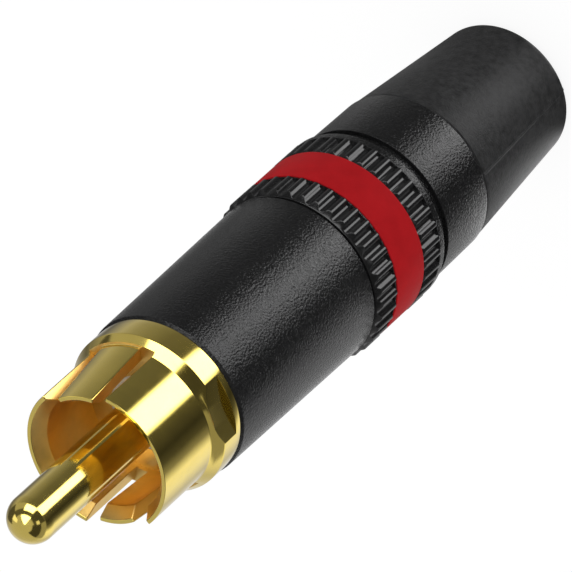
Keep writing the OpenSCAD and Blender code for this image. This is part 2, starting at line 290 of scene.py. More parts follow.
class PlugFinishes(bpy.types.PropertyGroup):
    """Colours and gloss of the finishes"""
    gold: colour("Gold", "Colour of the gold plating", (0.90, 0.69, 0.135))
    # A browner, darker gold: painted shade for the inside of the sleeve
    inner: colour("Inner gold", "Colour of the plating inside the sleeve", (0.83, 0.56, 0.18))
    gold_rough: factor("Gold roughness", "Roughness of the plating", 0.10)
    natural: colour("Insulator", "Colour of the insulator and the chuck", (0.72, 0.70, 0.62))
    black: colour("Black", "Colour of the shell's coating", (0.0112, 0.0112, 0.0115))
    black_rough: factor("Black roughness", "Roughness of the shell's coating", 0.12)
    grain: length("Grain", "Size of the coating's grain", 0.145)
    polish_rough: factor("Knurl roughness", "Roughness of the knurls", 0.17)
    red: colour("Red", "Colour of the coding ring", (0.475, 0.0115, 0.0155))
    red_rough: factor("Red roughness", "Roughness of the coding ring", 0.45)
    charcoal: colour("Boot", "Colour of the boot", (0.030, 0.030, 0.0305))
    boot_rough: factor("Boot roughness", "Roughness of the boot", 0.46)


class PlugStage(bpy.types.PropertyGroup):
    """Camera, light and floor"""
    turn: angle("View turn", "Compass angle of the camera, from +X", 33.0)
    rise: angle("View rise", "Height of the camera over the horizon", 43.14)
    roll: angle("View roll", "Roll of the camera about its view", -132.27)
    distance: length("Distance", "Distance of the camera from its aim", 498.24)
    aim: length("Aim", "Height of the aim on the plug's axis", 26.404)
    lens: FloatProperty(
        name="Lens", description="Focal length on a 36 mm sensor", default=503.5,
        min=1.0, unit="CAMERA")
    shift_x: FloatProperty(name="Shift X", description="Sideways shift of the lens", default=-0.0014)
    shift_y: FloatProperty(name="Shift Y", description="Upward shift of the lens", default=0.0016)
    world: factor("Surround", "Strength of the even light all round", 0.8, 2.0)
    floor_share: factor("Floor share", "Share of the floor's white that shadows can dim", 0.15)
    strip: factor("Strip", "Brightness of the strip and the window that the gloss reflects", 4.2, 10.0)


class PlugSettings(bpy.types.PropertyGroup):
    """All settings of the plug"""
    contact: PointerProperty(type=PlugContactSizes)
    pin: PointerProperty(type=PlugPinSizes)
    shell: PointerProperty(type=PlugShellSizes)
    boot: PointerProperty(type=PlugBootSizes)
    finish: PointerProperty(type=PlugFinishes)
    stage: PointerProperty(type=PlugStage)


def corners(*points):
    """Corners of a profile as an array (corner, column, 2) of radius and height.

    Each radius or height is one number, or an array with one value per column.
    """
    flat = np.broadcast_arrays(*[np.atleast_1d(v) for p in points for v in p])
    return np.stack(flat).reshape(len(points), 2, -1).transpose(0, 2, 1).astype(float)


def rounded(points, rounding, steps=ROUND_STEPS):
    """A closed profile with each corner rounded.

    A corner gives way to a parabola from a point one rounding back along the
    side before it to a point one rounding on along the side after it, and a
    rounding never takes more than ROUND_SHARE of either side.
    """
    radius = np.broadcast_to(np.asarray(rounding, float), (len(points),))[:, None]
    back = np.roll(points, 1, axis=0) - points
    ahead = np.roll(points, -1, axis=0) - points
    back_len = np.linalg.norm(back, axis=2)
    ahead_len = np.linalg.norm(ahead, axis=2)
    reach = np.minimum(radius, ROUND_SHARE * np.minimum(back_len, ahead_len))
    start = points + back * (reach / np.maximum(back_len, SHORTEST_SIDE))[..., None]
    end = points + ahead * (reach / np.maximum(ahead_len, SHORTEST_SIDE))[..., None]
    t = np.linspace(0.0, 1.0, steps + 1)[None, :, None, None]
    curve = (1 - t) ** 2 * start[:, None] + 2 * t * (1 - t) * points[:, None] + t ** 2 * end[:, None]
    return curve.reshape(-1, *points.shape[1:])


def turned(name, profile, theta, body, finish, replaced, closed=True, band=None):
    """A surface that carries a profile of radius and height round the axis.

    Point (i, j) is (r cos a, r sin a, z) with r and z from row i of column j of
    the profile and a the angle of column j. The columns close on themselves. A
    closed profile closes too, and an open one starts and ends on the axis. A band
    is a second finish and a test of the faces' middles and normals that get it.
    """
    profile = np.broadcast_to(profile, (len(profile), len(theta), 2))
    r, z = profile[..., 0], profile[..., 1]
    points = np.stack([r * np.cos(theta), r * np.sin(theta), z], axis=-1)
    rows, columns = r.shape
    index = np.arange(rows * columns).reshape(rows, columns)
    after = np.roll(index, -1, axis=1)
    if closed:
        below, above = index, np.roll(index, -1, axis=0)
        below_after, above_after = after, np.roll(after, -1, axis=0)
    else:
        below, above = index[:-1], index[1:]
        below_after, above_after = after[:-1], after[1:]
    quads = np.stack([below, below_after, above_after, above], axis=-1).reshape(-1, 4)
    mesh = bpy.data.meshes.new(name)
    mesh.vertices.add(rows * columns)
    mesh.vertices.foreach_set("co", points.astype(np.float32).ravel())
    mesh.loops.add(quads.size)
    mesh.loops.foreach_set("vertex_index", quads.astype(np.int32).ravel())
    mesh.polygons.add(len(quads))
    mesh.polygons.foreach_set("loop_start", np.arange(len(quads), dtype=np.int32) * 4)
    mesh.update(calc_edges=True)
    work = bmesh.new()
    work.from_mesh(mesh)
    bmesh.ops.remove_doubles(work, verts=work.verts, dist=MERGE_DISTANCE)
    bmesh.ops.dissolve_degenerate(work, dist=MERGE_DISTANCE, edges=work.edges)
    bmesh.ops.recalc_face_normals(work, faces=work.faces)
    work.to_mesh(mesh)
    work.free()
    mesh.polygons.foreach_set("use_smooth", np.ones(len(mesh.polygons), bool))
    mesh.set_sharp_from_angle(angle=SMOOTH_ANGLE)
    mesh.materials.append(finish)
    if band:
        second, test = band
        mesh.materials.append(second)
        middle, normal = np.empty((2, len(mesh.polygons) * 3), np.float32)
        mesh.polygons.foreach_get("center", middle)
        mesh.polygons.foreach_get("normal", normal)
        chosen = test(middle.reshape(-1, 3), normal.reshape(-1, 3))
        mesh.polygons.foreach_set("material_index", chosen.astype(np.int32))
    piece = bpy.data.objects.new(name, mesh)
    bpy.context.scene.collection.objects.link(piece)
    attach(piece, body)
    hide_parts(replaced)


def between(low, high):
    """A test for the faces between two heights."""
    return lambda middle, normal: (middle[:, 2] > low) & (middle[:, 2] < high)


def inward(low, high):
    """A test for the faces between two heights that hardly face away from the axis."""
    def test(middle, normal):
        radial = (middle[:, :2] * normal[:, :2]).sum(axis=1) / np.linalg.norm(middle[:, :2], axis=1)
        return (radial < INNER_TURN) & between(low, high)(middle, normal)
    return test


def turn_columns(count):
    """Evenly spaced angles of a full turn."""
    return np.arange(count) * (2 * math.pi / count)


def once(make):
    """Makes a finish's material at its first use, under the name of its function."""
    @wraps(make)
    def finish(f):
        material = bpy.data.materials.get(make.__name__)
        if material is None:
            material = bpy.data.materials.new(make.__name__)
            material.use_nodes = True
            tree = material.node_tree
            place = tree.nodes.new("ShaderNodeTexCoord").outputs["Object"]
            make(f, tree, tree.nodes["Principled BSDF"], place)
        return material
    return finish


def stretched(tree, place, scale):
    """Object coordinates multiplied by a scale along each axis."""
    node = tree.nodes.new("ShaderNodeMapping")
    node.inputs["Scale"].default_value = scale
    tree.links.new(place, node.inputs["Vector"])
    return node.outputs["Vector"]


def mottle(tree, place, size, detail=3.0, roughness=0.55):
    """Soft noise whose lumps are about the given size, from 0 to 1."""
    node = tree.nodes.new("ShaderNodeTexNoise")
    node.inputs["Scale"].default_value = 1.0 / size
    node.inputs["Detail"].default_value = detail
    node.inputs["Roughness"].default_value = roughness
    tree.links.new(place, node.inputs["Vector"])
    return node.outputs["Fac"]


def shade(rgb, amount):
    """A colour made lighter or darker by a factor."""
    return tuple(min(1.0, c * amount) for c in rgb)


def coloured(tree, shader, noise, rgb, dark, light):
    """Base colour that goes from a dark to a light shade of a colour as a noise rises."""
    node = tree.nodes.new("ShaderNodeValToRGB")
    node.color_ramp.elements[0].position = NOISE_LOW
    node.color_ramp.elements[0].color = (*shade(rgb, dark), 1.0)
    node.color_ramp.elements[1].position = NOISE_HIGH
    node.color_ramp.elements[1].color = (*shade(rgb, light), 1.0)
    tree.links.new(noise, node.inputs["Fac"])
    tree.links.new(node.outputs["Color"], shader.inputs["Base Color"])


def glossed(tree, shader, noise, low, high):
    """Roughness that goes from low to high as a noise rises."""
    node = tree.nodes.new("ShaderNodeMapRange")
    node.inputs["From Min"].default_value = NOISE_LOW
    node.inputs["From Max"].default_value = NOISE_HIGH
    node.inputs["To Min"].default_value = low
    node.inputs["To Max"].default_value = high
    tree.links.new(noise, node.inputs["Value"])
    tree.links.new(node.outputs["Result"], shader.inputs["Roughness"])


def raised(tree, shader, noise, depth, strength=1.0):
    """Relief whose height follows a noise, of a given depth."""
    node = tree.nodes.new("ShaderNodeBump")
    node.inputs["Strength"].default_value = strength
    node.inputs["Distance"].default_value = depth
    tree.links.new(noise, node.inputs["Height"])
    tree.links.new(node.outputs["Normal"], shader.inputs["Normal"])


@once
def gold_plating(f, tree, shader, place):
    """Polished gold plate under clear lacquer: a faint cloud in the gloss, and fine turning marks."""
    cloud = mottle(tree, place, size=1.4 * MM)
    coloured(tree, shader, cloud, f.gold, dark=0.96, light=1.04)
    glossed(tree, shader, cloud, low=f.gold_rough * 0.8, high=f.gold_rough * 1.25)
    marks = mottle(tree, stretched(tree, place, scale=(1.0, 1.0, 14.0)), size=0.9 * MM, detail=2.0)
    raised(tree, shader, marks, depth=0.002 * MM, strength=0.5)
    shader.inputs["Metallic"].default_value = 1.0
    shader.inputs["Coat Weight"].default_value = 1.0
    shader.inputs["Coat Roughness"].default_value = 0.08


@once
def shaded_inner_plating(f, tree, shader, place):
    """Duller plating inside the sleeve and on the walls of its slots, with a browner, darker colour
    that is painted shade of the hollow.
    """
    cloud = mottle(tree, place, size=1.2 * MM)
    coloured(tree, shader, cloud, f.inner, dark=0.92, light=1.06)
    glossed(tree, shader, cloud, low=0.32, high=0.42)
    shader.inputs["Metallic"].default_value = 1.0


@once
def natural_plastic(f, tree, shader, place):
    """Natural moulded plastic: a slight cloudiness and a satin skin."""
    cloud = mottle(tree, place, size=0.8 * MM)
    coloured(tree, shader, cloud, f.natural, dark=0.94, light=1.0)
    glossed(tree, shader, cloud, low=0.38, high=0.5)
    skin = mottle(tree, place, size=0.12 * MM)
    raised(tree, shader, skin, depth=0.01 * MM, strength=0.4)


@once
def black_coating(f, tree, shader, place):
    """Fine-grained black coating: a close grain in the relief, the gloss and the shade."""
    grain = mottle(tree, place, size=f.grain, detail=2.0)
    coloured(tree, shader, grain, f.black, dark=0.7, light=1.35)
    glossed(tree, shader, grain, low=f.black_rough * 1.25, high=f.black_rough * 0.8)
    raised(tree, shader, grain, depth=0.06 * MM)
    shader.inputs["Specular IOR Level"].default_value = 0.275


@once
def black_polish(f, tree, shader, place):
    """Black coating worn smooth on the knurls: a faint cloud in the gloss."""
    cloud = mottle(tree, place, size=0.5 * MM)
    coloured(tree, shader, cloud, f.black, dark=0.8, light=1.2)
    glossed(tree, shader, cloud, low=f.polish_rough * 0.85, high=f.polish_rough * 1.15)
    shader.inputs["Specular IOR Level"].default_value = 0.44


@once
def red_plastic(f, tree, shader, place):
    """Red moulded plastic: an even shade with a faint cloud and a satin skin."""
    cloud = mottle(tree, place, size=0.9 * MM)
    coloured(tree, shader, cloud, f.red, dark=0.93, light=1.05)
    glossed(tree, shader, cloud, low=f.red_rough * 0.9, high=f.red_rough * 1.1)
    skin = mottle(tree, place, size=0.15 * MM)
    raised(tree, shader, skin, depth=0.012 * MM, strength=0.4)
    shader.inputs["Specular IOR Level"].default_value = 0.02


@once
def boot_moulding(f, tree, shader, place):
    """Charcoal moulding: a matte skin with a cloud in its shade and a fine tooth in its relief."""
    cloud = mottle(tree, place, size=0.45 * MM)
    coloured(tree, shader, cloud, f.charcoal, dark=0.62, light=1.36)
    glossed(tree, shader, cloud, low=f.boot_rough * 0.92, high=f.boot_rough * 1.08)
    tooth = mottle(tree, place, size=0.14 * MM)
    raised(tree, shader, tooth, depth=0.030 * MM)
    shader.inputs["Specular IOR Level"].default_value = 0.105
    shader.inputs["Sheen Weight"].default_value = 0.05


def contact_columns(c):
    """Angles of the contact body's columns, with the kind and the edge of each.

    A half turn goes from the middle of a petal over a slot, a tongue and a slot
    to the middle of the next petal. Kind is 0 for a petal, 1 for a slot and 2
    for a tongue. A column on the edge of a slot is there twice, once for what
    stands beside the slot, with its edge chamfered, and once for the slot.
    """
    quarter, half_tongue = math.pi / 2, c.tongue_angle / 2
    petal_end = quarter - half_tongue - c.slot_angle
    burr = c.burr / (c.sleeve_d / 2)
    flat_end = math.acos(c.flats_w / c.collar_d)
    petal = np.union1d(np.arange(0.0, petal_end - burr, PETAL_STEP), [flat_end, petal_end - burr])
    slot = np.linspace(petal_end, quarter - half_tongue, SLOT_COLUMNS)
    tongue = np.linspace(-half_tongue + burr, half_tongue - burr, TONGUE_COLUMNS) + quarter
    edges = np.array([petal_end, quarter - half_tongue, quarter + half_tongue, math.pi - petal_end])
    runs = [
        (petal, 0, 0), (edges[:1], 0, 1), (slot, 1, 0), (edges[1:2], 2, 1), (tongue, 2, 0),
        (edges[2:3], 2, 1), (math.pi - slot[::-1], 1, 0), (edges[3:], 0, 1),
        ((math.pi - petal[::-1])[:-1], 0, 0)]
    theta = np.concatenate([run for run, _, _ in runs])
    kind = np.concatenate([np.full(len(run), k) for run, k, _ in runs])
    edge = np.concatenate([np.full(len(run), e) for run, _, e in runs])
    return np.concatenate([theta, theta + math.pi]), np.tile(kind, 2), np.tile(edge, 2)


def contact_profile(c, theta, kind, edge):
    """Profile of the contact body at each angle, as a closed loop of corners.

    It goes up the threaded stub, the flange, the collar and the cone, over the
    sleeve and down its bore to the floor and the insulator's seat. At a flat the
    radius is that of a plane, half its width over the cosine of the angle to it.
    At a slot the sleeve is folded down on the slot's floor, and at a tongue it
    leans in by the bend at its tip. The thread is a clipped cosine of height
    over pitch less turns, faded out at both ends.
    """
    petal, slot, tongue = kind == 0, kind == 1, kind == 2
    z_flange = Z_STUB + c.stub_len
    z_cone = Z_MOUTH - c.sleeve_len
    z_collar = z_cone - c.cone_len
    z_slot = z_cone - c.slot_run
    z_shoulder = z_flange + c.flange_len
    r_sleeve, r_bore, r_collar, r_stub = c.sleeve_d / 2, c.bore_d / 2, c.collar_d / 2, c.stub_d / 2
    r_relief = r_stub - c.relief_depth
    wall = r_sleeve - r_bore
    cone_slope = (r_collar - r_sleeve) / c.cone_len
    r_cut = r_sleeve + cone_slope * c.slot_run

    off_flat = np.abs((theta + math.pi / 2) % math.pi - math.pi / 2)
    r_flat = c.flats_w / 2 / np.maximum(np.cos(off_flat), c.flats_w / c.collar_d)
    z_flat = z_collar + (r_collar - r_flat) / cone_slope

    bend = np.where(tongue, c.tongue_bend, 0.0)
    lean = bend / (Z_MOUTH - z_slot)
    inset = edge * c.burr
    z_top = np.where(slot, z_slot, Z_MOUTH - inset)
    z_lead = np.where(slot, z_slot, Z_MOUTH - c.mouth_len)
    r_root = np.where(petal, r_sleeve - inset, r_sleeve)
    z_root = np.where(petal, z_cone, z_slot)
    r_top = np.where(slot, r_bore + FOLD_TOP * wall, r_sleeve - bend - inset)
    r_lip = np.where(slot, r_bore + FOLD_LIP * wall, r_bore + c.mouth_w - bend + inset / 2)
    r_lead = np.where(slot, r_bore + FOLD_LEAD * wall, r_bore - bend + lean * c.mouth_len + inset)
    r_lug, r_head, r_neck = c.lug_seat_d / 2, c.head_seat_d / 2, c.neck_seat_d / 2

    loop = corners(
        (r_lug, Z_STUB), (r_relief, Z_STUB), (r_stub, Z_STUB + c.relief_depth),
        (r_stub, z_flange - c.relief_len), (r_relief, z_flange - c.relief_len), (r_relief, z_flange),
        (r_collar, z_flange), (r_collar, z_shoulder), (r_flat, z_shoulder), (r_flat, z_flat),
        (r_cut, z_slot), (r_root, z_root), (r_top, z_top), (r_lip, z_top), (r_lead, z_lead),
        (r_bore, z_slot), (r_bore, Z_FLOOR), (r_neck, Z_FLOOR), (r_neck, Z_LUG + c.head_len),
        (r_head, Z_LUG + c.head_len), (r_head, Z_LUG), (r_lug, Z_LUG))
    soft, fine = c.edge, c.edge / 2
    rounding = [fine, fine, fine, 0, 0, fine, soft, soft, 0, soft, 0, soft, soft, fine, soft,
                0, 0, fine, 0, 0, 0, 0]
    profile = rounded(loop, rounding)

    first, last = Z_STUB + 2 * c.relief_depth, z_flange - c.relief_len - c.thread_gap
    z = np.linspace(first, last, THREAD_ROWS)[:, None] + 0 * theta
    wave = np.clip(THREAD_STEEPNESS * np.cos(2 * math.pi * (z / c.thread_pitch) - theta), -1.0, 1.0)
    fade = np.clip(np.minimum(z - first, last - z) / (THREAD_FADE * c.thread_pitch), 0.0, 1.0)
    r = r_stub + c.thread_h * fade * (0.5 + 0.5 * wave)
    thread = np.stack([r, z], axis=-1)
    # The thread goes in after the rows of the first three corners
    cut = 3 * (ROUND_STEPS + 1)
    return np.concatenate([profile[:cut], thread, profile[cut:]])


class PLUG_OT_contact_body(bpy.types.Operator):
    """Turned, slotted and threaded contact body with its two spring tongues"""
    bl_idname = "phono_plug.contact_body"
    bl_label = "Contact body"

    def execute(self, context):
        s = context.scene.phono_plug
        theta, kind, edge = contact_columns(s.contact)
        # The faces inside the sleeve get the browner plating, painted shade of its hollow
        turned("contact_body_turned", contact_profile(s.contact, theta, kind, edge), theta,
               "plug", gold_plating(s.finish), "contact_body",
               band=(shaded_inner_plating(s.finish), inward(Z_FLOOR - INNER_START, Z_MOUTH - INNER_STOP)))
        return {"FINISHED"}


class PLUG_OT_centre_pin(bpy.types.Operator):
    """Signal pin with its round nose, and its solder cup with one open side.

    The profile starts on the axis with a quarter circle and ends on the axis in
    the bottom of the cup. The half turn of the open side ends higher up.
    """
    bl_idname = "phono_plug.centre_pin"
    bl_label = "Centre pin"

    def execute(self, context):
        s = context.scene.phono_plug
        p = s.pin
        half = np.linspace(0.0, math.pi, PIN_HALF_COLUMNS)
        theta = np.concatenate([half, half + math.pi])
        scooped = np.repeat([1.0, 0.0], PIN_HALF_COLUMNS)
        z_back = Z_LUG - p.head_len
        z_end = Z_CUP + scooped * p.scoop_len
        r = p.pin_d / 2
        a = np.linspace(0.0, math.pi / 2, NOSE_ROWS)[:, None] + 0 * theta
        nose = np.stack([r * np.sin(a), Z_NOSE - r + r * np.cos(a)], axis=-1)
        loop = corners(
            (r, Z_FLOOR), (p.neck_d / 2, Z_FLOOR), (p.neck_d / 2, Z_LUG), (p.head_d / 2, Z_LUG),
            (p.head_d / 2, z_back), (p.cup_d / 2, z_back), (p.cup_d / 2, z_end),
            (p.cup_bore_d / 2, z_end), (p.cup_bore_d / 2, Z_CUP + p.cup_depth))
        floor = corners((0.0, Z_CUP + p.cup_depth))
        rows = np.broadcast_to(loop, (len(loop), len(theta), 2))
        end = np.broadcast_to(floor, (1, len(theta), 2))
        turned("centre_pin_turned", np.concatenate([nose, rows, end]), theta,
               "plug", gold_plating(s.finish), "centre_pin", closed=False)
        return {"FINISHED"}


class PLUG_OT_insulator(bpy.types.Operator):
    """Insulator between pin and contact body: a stepped ring turned round the axis"""
    bl_idname = "phono_plug.insulator"
    bl_label = "Insulator"

    def execute(self, context):
        s = context.scene.phono_plug
        p = s.pin
        r_in = p.neck_d / 2 + s.shell.press_gap
        r_neck, r_head = p.insulator_d / 2, p.insulator_head_d / 2
        z_head = Z_LUG + p.insulator_head_len
        loop = corners(
            (r_in, Z_LUG), (r_head, Z_LUG), (r_head, z_head), (r_neck, z_head),
            (r_neck, Z_FLOOR), (r_in, Z_FLOOR))
        turned("insulator_moulded", rounded(loop, p.insulator_edge), turn_columns(INSULATOR_COLUMNS),
               "plug", natural_plastic(s.finish), "insulator")
        return {"FINISHED"}


class PLUG_OT_inner_parts(bpy.types.Operator):
    """Finishes of the ground lug and the cable chuck, which keep their CAD meshes"""
    bl_idname = "phono_plug.inner_parts"
    bl_label = "Lug and chuck"

    def execute(self, context):
        f = context.scene.phono_plug.finish
        for node, finish in (("ground_lug", gold_plating(f)), ("cable_chuck", natural_plastic(f))):
            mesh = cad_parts[node].data
            mesh.materials.clear()
            mesh.materials.append(finish)
        return {"FINISHED"}


def knurl_rows(s, theta, z_low, z_high, chamfer):
    """Corners of a knurl, from its lower end to its upper end.

    A tooth is an arc round its tip that runs into the same arc, hollow, round the
    root. With a pitch p and a depth h the radius of both arcs is p squared over
    16 h, plus h over 4. A cone at 45 degrees takes off the upper end.
    """
    r_tip = s.knurl_d / 2
    pitch = math.pi * s.knurl_d / s.teeth
    arc = pitch ** 2 / (16 * s.tooth_h) + s.tooth_h / 4
    off = np.abs((theta * s.teeth / (2 * math.pi) + 0.5) % 1.0 - 0.5) * pitch
    tip = arc - np.sqrt(arc ** 2 - np.minimum(off, pitch / 4) ** 2)
    root = s.tooth_h - arc + np.sqrt(arc ** 2 - np.minimum(pitch / 2 - off, pitch / 4) ** 2)
    r = r_tip - np.where(off < pitch / 4, tip, root)
    r_end = np.minimum(r, r_tip - chamfer)
    return [(r, z_low), (r, z_high - (r - r_end)), (r_end, z_high)]


class PLUG_OT_barrel(bpy.types.Operator):
    """Tapered black barrel with the front knurl, its tube and its stepped bore"""
    bl_idname = "phono_plug.barrel"
    bl_label = "Barrel"

    def execute(self, context):
        settings = context.scene.phono_plug
        s = settings.shell
        theta = turn_columns(s.teeth * TOOTH_COLUMNS)
        z_land = Z_KNURL + s.land_len
        z_groove = Z_KNURL + s.front_knurl_len
        z_barrel = z_groove + s.groove_len
        z_closing = Z_TUBE + s.lip_len
        z_thread = Z_SEAT - s.thread_len
        r_tube, r_back, r_front = s.tube_d / 2, s.back_d / 2, s.front_d / 2
        r_groove = r_back - s.groove_depth
        loop = corners(
            (r_tube, Z_TUBE), (r_tube, Z_KNURL), (s.land_d / 2, Z_KNURL), (s.land_d / 2, z_land),
            *knurl_rows(s, theta, z_land, z_groove, s.front_tooth_edge),
            (r_groove, z_groove), (r_groove, z_barrel), (r_back, z_barrel),
            (r_front, Z_SEAT - s.front_edge), (r_front - s.front_edge, Z_SEAT),
            (s.thread_d / 2, Z_SEAT), (s.thread_d / 2, z_thread), (s.bore_d / 2, z_thread),
            (s.bore_d / 2, z_closing + s.closing_len), (s.closing_d / 2, z_closing),
            (s.closing_d / 2, Z_TUBE))
        e = s.edge
        rounding = [e, 0, e / 2, 0, 0, e, e, 0, 0, e, e, e, e, 0, 0, 0, 0, e]
        turned("barrel_coated", rounded(loop, rounding), theta,
               "shell", black_coating(settings.finish), "barrel",
               band=(black_polish(settings.finish), between(z_land, z_groove)))
        return {"FINISHED"}


class PLUG_OT_coding_ring(bpy.types.Operator):
    """Coloured ring between the knurls: a plain band with softened edges"""
    bl_idname = "phono_plug.coding_ring"
    bl_label = "Coding ring"

    def execute(self, context):
        settings = context.scene.phono_plug
        s = settings.shell
        r_in, r_out = s.tube_d / 2 + s.press_gap, s.ring_d / 2
        loop = corners((r_in, Z_RING), (r_out, Z_RING), (r_out, Z_KNURL), (r_in, Z_KNURL))
        turned("coding_ring_moulded", rounded(loop, s.ring_edge), turn_columns(RING_COLUMNS),
               "shell", red_plastic(settings.finish), "coding_ring")
        return {"FINISHED"}


class PLUG_OT_rear_bushing(bpy.types.Operator):
    """Rear bushing with the rear knurl, a plain rim, a groove and a tapered sleeve"""
    bl_idname = "phono_plug.rear_bushing"
    bl_label = "Rear bushing"

    def execute(self, context):
        settings = context.scene.phono_plug
        s = settings.shell
        theta = turn_columns(s.teeth * TOOTH_COLUMNS)
        r_in, r_rim = s.tube_d / 2 + s.press_gap, s.rim_d / 2
        r_front, r_back = s.sleeve_front_d / 2, s.sleeve_back_d / 2
        r_groove = r_front - s.undercut_depth
        z_rim = Z_RING - s.rear_knurl_len
        z_sleeve = z_rim - s.rim_len
        z_groove = z_sleeve - s.undercut_len
        loop = corners(
            (r_in, Z_BOOT), (r_back - s.sleeve_edge, Z_BOOT), (r_back, Z_BOOT + s.sleeve_edge),
            (r_front, z_groove), (r_groove, z_groove), (r_groove, z_sleeve),
            (r_rim - s.rim_edge, z_sleeve), (r_rim, z_sleeve + s.rim_edge), (r_rim, z_rim),
            *knurl_rows(s, theta, z_rim, Z_RING, s.rear_tooth_edge), (r_in, Z_RING))
        e = s.edge
        rounding = [0, e, e, e, 0, 0, e, e, e, 0, e, e, 0]
        turned("rear_bushing_coated", rounded(loop, rounding), theta,
               "shell", black_coating(settings.finish), "rear_bushing",
               band=(black_polish(settings.finish), between(z_rim, Z_RING)))
        return {"FINISHED"}


class PLUG_OT_boot(bpy.types.Operator):
    """Tapered boot with a rounded end, a cable bore and two parting lines.

    The end is an arc that touches the end face and the sloping wall. The outer
    radius is raised by a bell curve of the distance round the wall from each
    parting line.
    """
    bl_idname = "phono_plug.boot"
    bl_label = "Boot"

    def execute(self, context):
        settings = context.scene.phono_plug
        s, b = settings.shell, settings.boot
        half = np.radians(np.concatenate([SEAM_ANGLES, WALL_ANGLES]))
        theta = np.concatenate([half, half + math.pi])
        off = np.abs((theta + math.pi / 2) % math.pi - math.pi / 2) * b.front_d / 2
        seam = b.seam_h * np.exp(-(off / (b.seam_w / 2)) ** 2)
        r_tube, r_bore, r_end = s.tube_d / 2, b.cable_d / 2, b.end_round
        slope = (b.front_d - b.end_d) / 2 / Z_BOOT
        lean = math.atan(slope)
        middle = b.end_d / 2 + slope * r_end - r_end / math.cos(lean)
        a = np.linspace(-math.pi / 2, -lean, BOOT_END_ROWS)
        arc = [(middle + (r_end + seam) * math.cos(v), r_end + r_end * math.sin(v)) for v in a]
        loop = corners(
            (r_bore + b.entry_edge, 0.0), *arc, (b.front_d / 2 + seam, Z_BOOT),
            (r_tube, Z_BOOT), (r_tube, Z_TUBE), (r_bore, Z_TUBE), (r_bore, b.entry_edge))
        rounding = [b.entry_round, *[0.0] * len(arc), b.front_round, 0, s.edge, s.edge, b.entry_round]
        turned("boot_moulded", rounded(loop, rounding), theta,
               "shell", boot_moulding(settings.finish), "boot")
        return {"FINISHED"}


def seen_directly(tree):
    """1 for rays from the camera, from gloss and from glass, else 0."""
    path = tree.nodes.new("ShaderNodeLightPath")
    total = path.outputs["Is Camera Ray"]
    for name in ("Is Glossy Ray", "Is Transmission Ray"):
        node = tree.nodes.new("ShaderNodeMath")
        node.operation = "MAXIMUM"
        tree.links.new(total, node.inputs[0])
        tree.links.new(path.outputs[name], node.inputs[1])
        total = node.outputs["Value"]
    return total


def glow():
    """Material of the screens, which shine as their own colour attribute says."""
    material = bpy.data.materials.new("screen_glow")
    material.use_nodes = True
    tree = material.node_tree
    tree.nodes.clear()
    light = tree.nodes.new("ShaderNodeAttribute")
    light.attribute_name = "light"
    emission = tree.nodes.new("ShaderNodeEmission")
    output = tree.nodes.new("ShaderNodeOutputMaterial")
    tree.links.new(light.outputs["Color"], emission.inputs["Color"])
    tree.links.new(emission.outputs["Emission"], output.inputs["Surface"])
    return material


def screen(name, points, light, material):
    """A grid of points with a level of light at each, which only reflections see."""
    rows, columns = light.shape
    index = np.arange(rows * columns).reshape(rows, columns)
    quads = np.stack([index[:-1, :-1], index[1:, :-1], index[1:, 1:], index[:-1, 1:]], axis=-1)
    mesh = bpy.data.meshes.new(name)
    mesh.from_pydata(points.reshape(-1, 3).tolist(), [], quads.reshape(-1, 4).tolist())
    rgba = np.stack([light, light, light, np.ones_like(light)], axis=-1)
    shine = mesh.attributes.new("light", "FLOAT_COLOR", "POINT")
    shine.data.foreach_set("color", rgba.astype(np.float32).ravel())
    mesh.materials.append(material)
    piece = bpy.data.objects.new(name, mesh)
    bpy.context.scene.collection.objects.link(piece)
    piece.visible_camera = False
    piece.visible_diffuse = False
    piece.visible_transmission = False
    piece.visible_volume_scatter = False
    piece.visible_shadow = False


def step(value, edge, soft):
    """0 below an edge and 1 above it, with a smooth rise of twice the softness between."""
    t = np.clip((value - edge) / (2 * soft) + 0.5, 0.0, 1.0)
    return t * t * (3 - 2 * t)


def span(value, low, high, soft):
    """1 between two edges and 0 outside them, with both edges soft."""
    return step(value, low, soft) - step(value, high, soft)


def floor_light(az, strip):
    """Light from the floor by the angle from the camera's side.

    A bright strip of white lies in front, and the cloths round it go from one
    level to the next in straight lines.
    """
    level = np.interp(az, *np.transpose(FLOOR_CLOTHS))
    front = span(az, *FLOOR_STRIP, STRIP_SOFT)
    return level * (1 - front) + strip * front


def tent_light(az, el, strip):
    """Light from the walls and the roof of the tent by azimuth and elevation.

    It goes on from the floor's light at the horizon to an even grey above, with
    the cloths and then the windows laid over it.
    """
    light = floor_light(az, strip)
    light = light + (TENT_GREY - light) * step(el, TENT_RISE, TENT_RISE)
    windows = tuple((*window, strip) for window in TENT_WINDOWS)
    for left, right, low, high, level in TENT_CLOTHS + windows:
        inside = span(az, left, right, TENT_SOFT) * span(el, low, high, TENT_SOFT)
        light = light * (1 - inside) + level * inside
    return light


